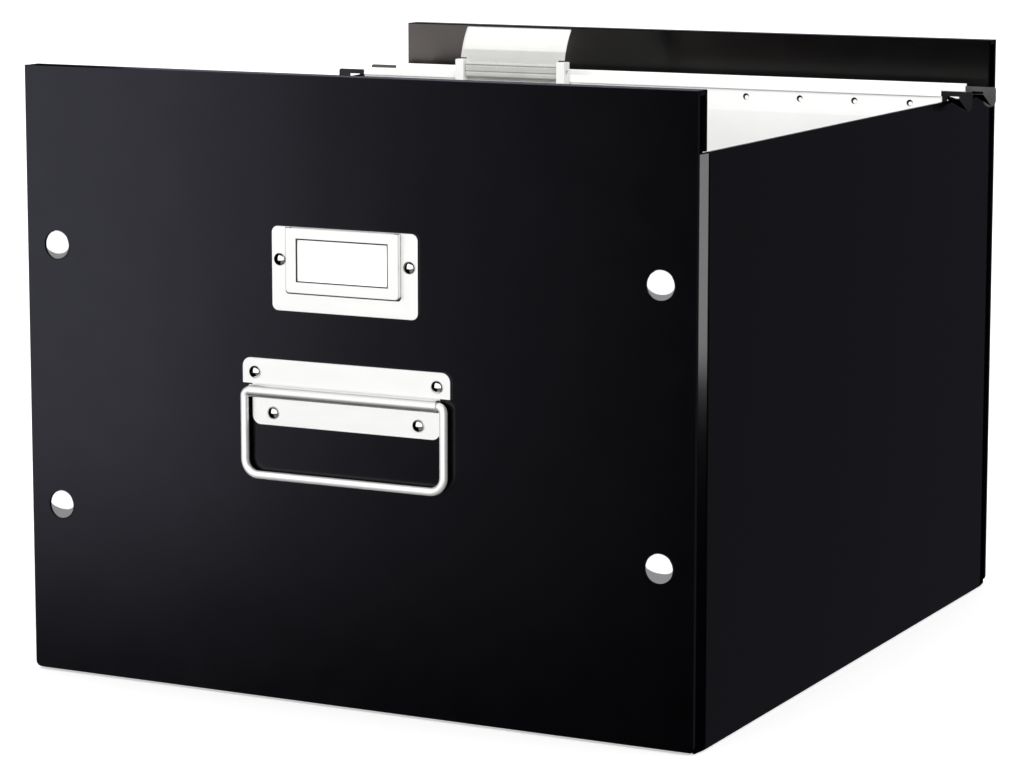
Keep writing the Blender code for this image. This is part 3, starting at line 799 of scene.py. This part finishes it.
def findSlots():
    # the height of the round cut-out at the leaf's middle, and the leaf's front face there
    points = [v.co for v in nodes["front_leaf"].data.vertices]
    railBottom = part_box("front_rail")[0].z
    searchLow, searchHigh = (railBottom - below for below in slotLook["search"])
    near = [
        at.z for at in points if abs(at.x) < slotLook["opening"] and searchLow < at.z < searchHigh
    ]
    height = (min(near) + max(near)) / 2
    return height, min(at.y for at in points if at.z > height)


def makeDiscs(name, radius, shift, proud, material):
    discs = []
    for index in range(slotLook["count"]):
        x = (index - slotLook["count"] // 2) * slotLook["pitch"]
        deselectAll()
        bpy.ops.mesh.primitive_cylinder_add(
            vertices=slotLook["sides"],
            radius=radius,
            depth=slotLook["thick"],
            location=(x + shift[0], leafFront - proud, slotHeight + shift[1]),
            rotation=(math.pi / 2, 0, 0),
        )
        disc = bpy.context.object
        applyPlace(disc)
        softenEdges(disc, slotLook["hairEdge"], 1, 50)
        discs.append(disc)
    piece = joinPieces(discs[0], discs[1:])
    piece.name = name
    finishPiece(piece, "file_front", material)


slotHeight, leafFront = findSlots()
# dark discs at the openings, painted shadow, then the white flaps over them
makeDiscs(
    "leaf_slot_openings", slotLook["opening"], (0, 0), slotLook["openingProud"], slotDark
)
makeDiscs(
    "leaf_slot_flaps",
    slotLook["flap"],
    slotLook["flapShift"],
    slotLook["flapProud"],
    fileWhite,
)
print("leaf slots made")


# tab on the hanging file

tabLook = {
    "centre": -0.0715,
    "curlRadius": 0.036,
    "lean": (8, 40),
    "labelStart": 19.7,
    "wideReach": 0.030,
    "narrowReach": 0.0266,
    "wideFrom": 0.2661,
    "sheet": 0.0005,
    "label": 0.0003,
    "sheetEdge": 0.00012,
    "labelSet": 0.0003,  # label behind the clear sheet, and short of it at each end
    "barHalf": 0.00395,  # half of the hinge bar's height
    "barDepth": 0.0013,  # half of its thickness
    "barCorner": 0.0011,
    "barEdge": 0.00015,
    "bands": (0.30, 0.42, 0.74, 0.84),  # the two grooves, as shares of the bar's height
    "groove": 0.00045,
    "grooveSide": 0.0001,
    "pinRadius": 0.001,
    "pinLength": 0.0046,
    "pinSet": 0.0022,  # the pin's middle, out from the bar's end
    "pinEdge": 0.0002,
}
tabPivot = Vector(next(j["pos_m"] for j in frame["joints"] if j["name"] == "tab_tilt"))


def curlCentre():
    lean = math.radians(tabLook["lean"][0])
    foot = tabPivot.z + tabLook["barHalf"] - tabLook["sheet"]
    radius = tabLook["curlRadius"]
    return Vector((0, tabPivot.y + radius * math.cos(lean), foot - radius * math.sin(lean)))


def spunSheet(name, reach, radius, fromAngle, toAngle):
    # an edge across the tab, spun about the middle of the curl
    centre = curlCentre()
    start = math.radians(fromAngle)
    deselectAll()
    bpy.ops.mesh.primitive_plane_add(size=2 * reach, location=(tabLook["centre"], 0, 0))
    piece = bpy.context.object
    piece.name = name
    applyPlace(piece)
    startEdit(piece)
    pick(piece, "verts", lambda at: at.y > 0)
    bpy.ops.mesh.delete(type="VERT")
    bpy.ops.mesh.select_mode(type="EDGE")
    bpy.ops.mesh.select_all(action="SELECT")
    y, z = centre.y - radius * math.cos(start), centre.z + radius * math.sin(start)
    bpy.ops.transform.translate(value=(0, y + reach, z))
    bpy.ops.mesh.spin(
        steps=18, angle=math.radians(toAngle - fromAngle), center=centre, axis=(1, 0, 0)
    )
    endEdit()
    return piece


def makeTabWindow():
    look = tabLook
    sheet = spunSheet("tab_window_clear", look["wideReach"], look["curlRadius"], *look["lean"])
    startEdit(sheet)
    cutAt((0, 0, tabLook["wideFrom"]), (0, 0, 1))
    for across in (-1, 1):
        cutAt((tabLook["centre"] + across * tabLook["narrowReach"], 0, 0), (1, 0, 0))
    pick(
        sheet,
        "faces",
        lambda at, normal: abs(at.x - tabLook["centre"]) > tabLook["narrowReach"]
        and at.z < tabLook["wideFrom"],
    )
    bpy.ops.mesh.delete(type="FACE")
    tidyMesh()
    endEdit()
    addModifier(sheet, "SOLIDIFY", thickness=tabLook["sheet"], offset=0)
    softenEdges(sheet, tabLook["sheetEdge"], 2, 60)
    finishPiece(sheet, "tab", clearPlastic, ["tab_window"], 40)


def makeHingeBar():
    # a moulded strip with two long grooves, and a pin at each end
    half = tabLook["barHalf"]
    reach = Vector((tabLook["narrowReach"], tabLook["barDepth"], half))
    middle = Vector((tabLook["centre"], tabPivot.y, tabPivot.z))
    bar = addBox("tab_hinge_bar", middle - reach, middle + reach)
    startEdit(bar)
    heights = [tabPivot.z - half + 2 * half * band for band in tabLook["bands"]]
    for z in heights:
        cutAt((0, 0, z), (0, 0, 1))
    for lower, upper in (heights[:2], heights[2:]):
        pick(bar, "faces", lambda at, normal: abs(normal.y) > 0.9 and lower < at.z < upper)
        bpy.ops.mesh.inset(thickness=tabLook["grooveSide"], depth=-tabLook["groove"])
    pick(
        bar,
        "edges",
        lambda at, way, edge: abs(way.x) > 0.9 and abs(abs(at.z - tabPivot.z) - half) < tiny,
    )
    bpy.ops.mesh.bevel(offset=tabLook["barCorner"], segments=5)
    endEdit()
    softenEdges(bar, tabLook["barEdge"], 2, 50)
    pins = []
    for across in (-1, 1):
        end = tabLook["centre"] + across * tabLook["narrowReach"]
        deselectAll()
        bpy.ops.mesh.primitive_cylinder_add(
            vertices=20,
            radius=tabLook["pinRadius"],
            depth=tabLook["pinLength"],
            location=(end + across * tabLook["pinSet"], tabPivot.y, tabPivot.z),
            rotation=(0, math.pi / 2, 0),
        )
        pin = bpy.context.object
        applyPlace(pin)
        softenEdges(pin, tabLook["pinEdge"], 2, 60)
        pins.append(pin)
    joinPieces(bar, pins)
    finishPiece(bar, "tab", barPlastic, ["tab_window"], 40)


def makeTabLabel():
    behind = (tabLook["sheet"] + tabLook["label"]) / 2 + tabLook["labelSet"]
    label = spunSheet(
        "tab_label_card",
        tabLook["wideReach"] - tabLook["labelSet"],
        tabLook["curlRadius"] - behind,
        tabLook["labelStart"],
        tabLook["lean"][1],
    )
    startEdit(label)
    tidyMesh()
    endEdit()
    addModifier(label, "SOLIDIFY", thickness=tabLook["label"], offset=0)
    finishPiece(label, "tab", cardWhite, ["tab_label"], 40)


makeTabWindow()
makeHingeBar()
makeTabLabel()
softCopy("tab_base", softEdges["tab"])
print("tab made")


# studio

studio = {
    "floorSize": 12.0,
    "floorColor": (0.93, 0.93, 0.93),
    "floorGlow": 0.5,
    "floorDrop": 0.0002,  # floor just below the base, so that the two faces don't meet
    "worldStrength": 1.0,
}


def addFloor():
    deselectAll()
    bpy.ops.mesh.primitive_plane_add(size=studio["floorSize"], location=(0, 0, -studio["floorDrop"]))
    floor = bpy.context.object
    floor.name = "studio_floor"
    material = newMaterial("paleFloor", studio["floorColor"], 0.9)
    shader = material.node_tree.nodes["Principled BSDF"]
    shader.inputs["Emission Color"].default_value = (1, 1, 1, 1)
    shader.inputs["Emission Strength"].default_value = studio["floorGlow"]
    floor.data.materials.append(material)
    floor.visible_glossy = False
    floor.visible_shadow = False


def addWorld():
    world = bpy.data.worlds.new("studio")
    world.use_nodes = True
    world.node_tree.nodes["Background"].inputs["Color"].default_value = (1, 1, 1, 1)
    world.node_tree.nodes["Background"].inputs["Strength"].default_value = studio["worldStrength"]
    world.cycles_visibility.glossy = False
    scene.world = world


def gather(name, chosen):
    # the only pieces that a light falls on
    group = bpy.data.collections.new(name)
    for piece in chosen:
        group.objects.link(piece)
    return group


def addPanel(name, place, aim, size, power, group, color=(1, 1, 1)):
    # power is in watts for each square metre of the panel
    data = bpy.data.lights.new(name, "AREA")
    data.shape = "RECTANGLE"
    data.size, data.size_y = size
    data.energy = power * size[0] * size[1]
    data.color = color
    panel = bpy.data.objects.new(name, data)
    panel.location = place
    panel.rotation_euler = (Vector(aim) - Vector(place)).to_track_quat("-Z", "Y").to_euler()
    panel.visible_camera = False
    scene.collection.objects.link(panel)
    panel.light_linking.receiver_collection = group


addFloor()
addWorld()
shown = [piece for piece in bpy.data.objects if piece.type == "MESH" and "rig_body" in piece]


def lookingLike(*names):
    return [p for p in shown if p.data.materials and p.data.materials[0].name in names]


boards = gather("boards", lookingLike("blackLaminate", "hookBlack", "hookGrey", "slotDark"))
corners = gather("corners", lookingLike("creasedLaminate"))
linings = gather("linings", lookingLike("blackLining"))
rivets = [p for p in shown if "_rivet_" in p.name and p.name.endswith("_head")]
metalNames = ("satinNickel", "brightNickel", "polishedChrome", "zincPlate", "seamShadow")
metals = gather("metals", [p for p in lookingLike(*metalNames) if p not in rivets])
backCaps = gather("backCaps", [p for p in shown if p.name.startswith("press_cap_back_")])
heads = gather("rivetHeads", rivets)
whiteNames = ("cardWhite", "fileWhite", "tabWhite", "clearPlastic", "frostedPlastic")
papers = gather("papers", lookingLike(*whiteNames))
coolWhite = (0.97, 0.96, 1.2)
warmWhite = (1.08, 0.98, 0.94)
addPanel("sheen", (-1.36, -1.68, 0.12), (-1.36, 0, 0.12), (0.78, 0.90), 3.45, boards, coolWhite)
addPanel("sheenWide", (-0.82, -1.68, 0.10), (-0.82, 0, 0.10), (0.50, 0.90), 0.5, boards, coolWhite)
addPanel("sideFill", (1.35, 2.6, -0.2), (0.16, 0.1, 0.15), (3.0, 2.8), 0.17, boards, coolWhite)
addPanel("backSheen", (-1.0, 2.3, 0.6), (-1.0, 0, 0.6), (1.5, 1.2), 1.0, boards, coolWhite)
addPanel("leftSheen", (-2.0, 1.1, 0.6), (0, 0.3, 0.3), (1.2, 1.2), 0.8, boards, coolWhite)
addPanel("cornerGlow", (0.80, 0.59, 0.18), (0.16, -0.18, 0.18), (0.44, 0.36), 7.0, corners)
addPanel("liningGlow", (-1.36, -1.68, 0.10), (-1.36, 0, 0.10), (0.66, 0.92), 12.0, linings, warmWhite)
addPanel("metalFront", (-0.3, -1.5, 0.62), (-0.3, 0, 0.62), (4.6, 2.0), 3.9, metals)
addPanel("metalTop", (0, -0.3, 1.9), (0, -0.3, 0), (4.0, 3.0), 3.1, metals)
addPanel("metalLow", (-0.3, -1.5, -1.4), (-0.3, 0, -1.4), (4.6, 2.0), 0.95, metals)
addPanel("capsBack", (0.3, 1.6, 0.5), (0.3, 0, 0.5), (4.6, 2.2), 3.6, backCaps)
addPanel("headFront", (0.30, -1.5, 0.45), (0.30, 0, 0.45), (2.5, 1.3), 3.9, heads)
addPanel("headLow", (1.2, -1.5, -1.4), (1.2, 0, -1.4), (3.0, 2.0), 0.6, heads)
addPanel("paperTop", (0.4, -1.3, 1.2), (0, 0.1, 0.25), (2.0, 2.0), 10.0, papers)
scene.view_settings.view_transform = "Standard"
print("studio made")
